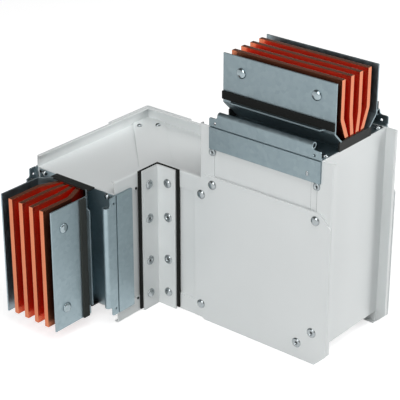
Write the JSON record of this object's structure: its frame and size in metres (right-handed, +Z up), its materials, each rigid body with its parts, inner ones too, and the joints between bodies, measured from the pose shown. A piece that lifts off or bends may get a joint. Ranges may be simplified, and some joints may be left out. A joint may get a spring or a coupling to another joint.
{
  "type": "busway section",
  "caption": "Busway elbow that turns flat through a right angle, then up into a riser, with spread copper bars at both ends.",
  "frame": {"origin": "under the middle of the section's bounding box, on the floor that its lower rims stand on", "axes": "+X along the run from the elbow to the riser, +Y across the run away from the leg, +Z up the riser"},
  "size_m": [0.3912, 0.2932, 0.3455],
  "materials": {
    "copper": "bare cold-drawn copper bar",
    "painted_sheet": "satin light-grey powder coat",
    "galvanised_sheet": "dull galvanised sheet",
    "seal_rubber": "matte black rubber",
    "insulator": "matte moulded insulator"
  },
  "bodies": {
    "root": {"copper_bar_1": "copper", "copper_bar_2": "copper", "copper_bar_3": "copper", "copper_bar_4": "copper", "top_tray": "painted_sheet", "bottom_tray": "painted_sheet", "riser_inner_tray": "painted_sheet", "riser_outer_tray": "painted_sheet", "leg_inner_panel": "painted_sheet", "leg_outer_panel": "painted_sheet", "front_panel": "painted_sheet", "back_panel": "painted_sheet", "front_cover_plate": "painted_sheet", "back_cover_plate": "painted_sheet", "inner_corner_angle": "painted_sheet", "outer_corner_angle": "painted_sheet", "top_mitre_plate": "painted_sheet", "bottom_mitre_plate": "painted_sheet", "inner_corner_gasket": "seal_rubber", "leg_seal_strip_inner": "seal_rubber", "leg_seal_strip_outer": "seal_rubber", "stub_seal_strip_front": "seal_rubber", "stub_seal_strip_back": "seal_rubber", "leg_side_plate_inner": "galvanised_sheet", "leg_side_plate_outer": "galvanised_sheet", "stub_side_plate_front": "galvanised_sheet", "stub_side_plate_back": "galvanised_sheet", "leg_joint_bracket_inner": "galvanised_sheet", "leg_joint_bracket_outer": "galvanised_sheet", "stub_joint_bracket_front": "galvanised_sheet", "stub_joint_bracket_back": "galvanised_sheet", "leg_end_channel_inner": "galvanised_sheet", "leg_end_channel_outer": "galvanised_sheet", "stub_end_channel_front": "galvanised_sheet", "stub_end_channel_back": "galvanised_sheet", "leg_comb_top": "insulator", "leg_comb_bottom": "insulator", "stub_comb_inner": "insulator", "stub_comb_outer": "insulator"}
  },
  "joints": []
}
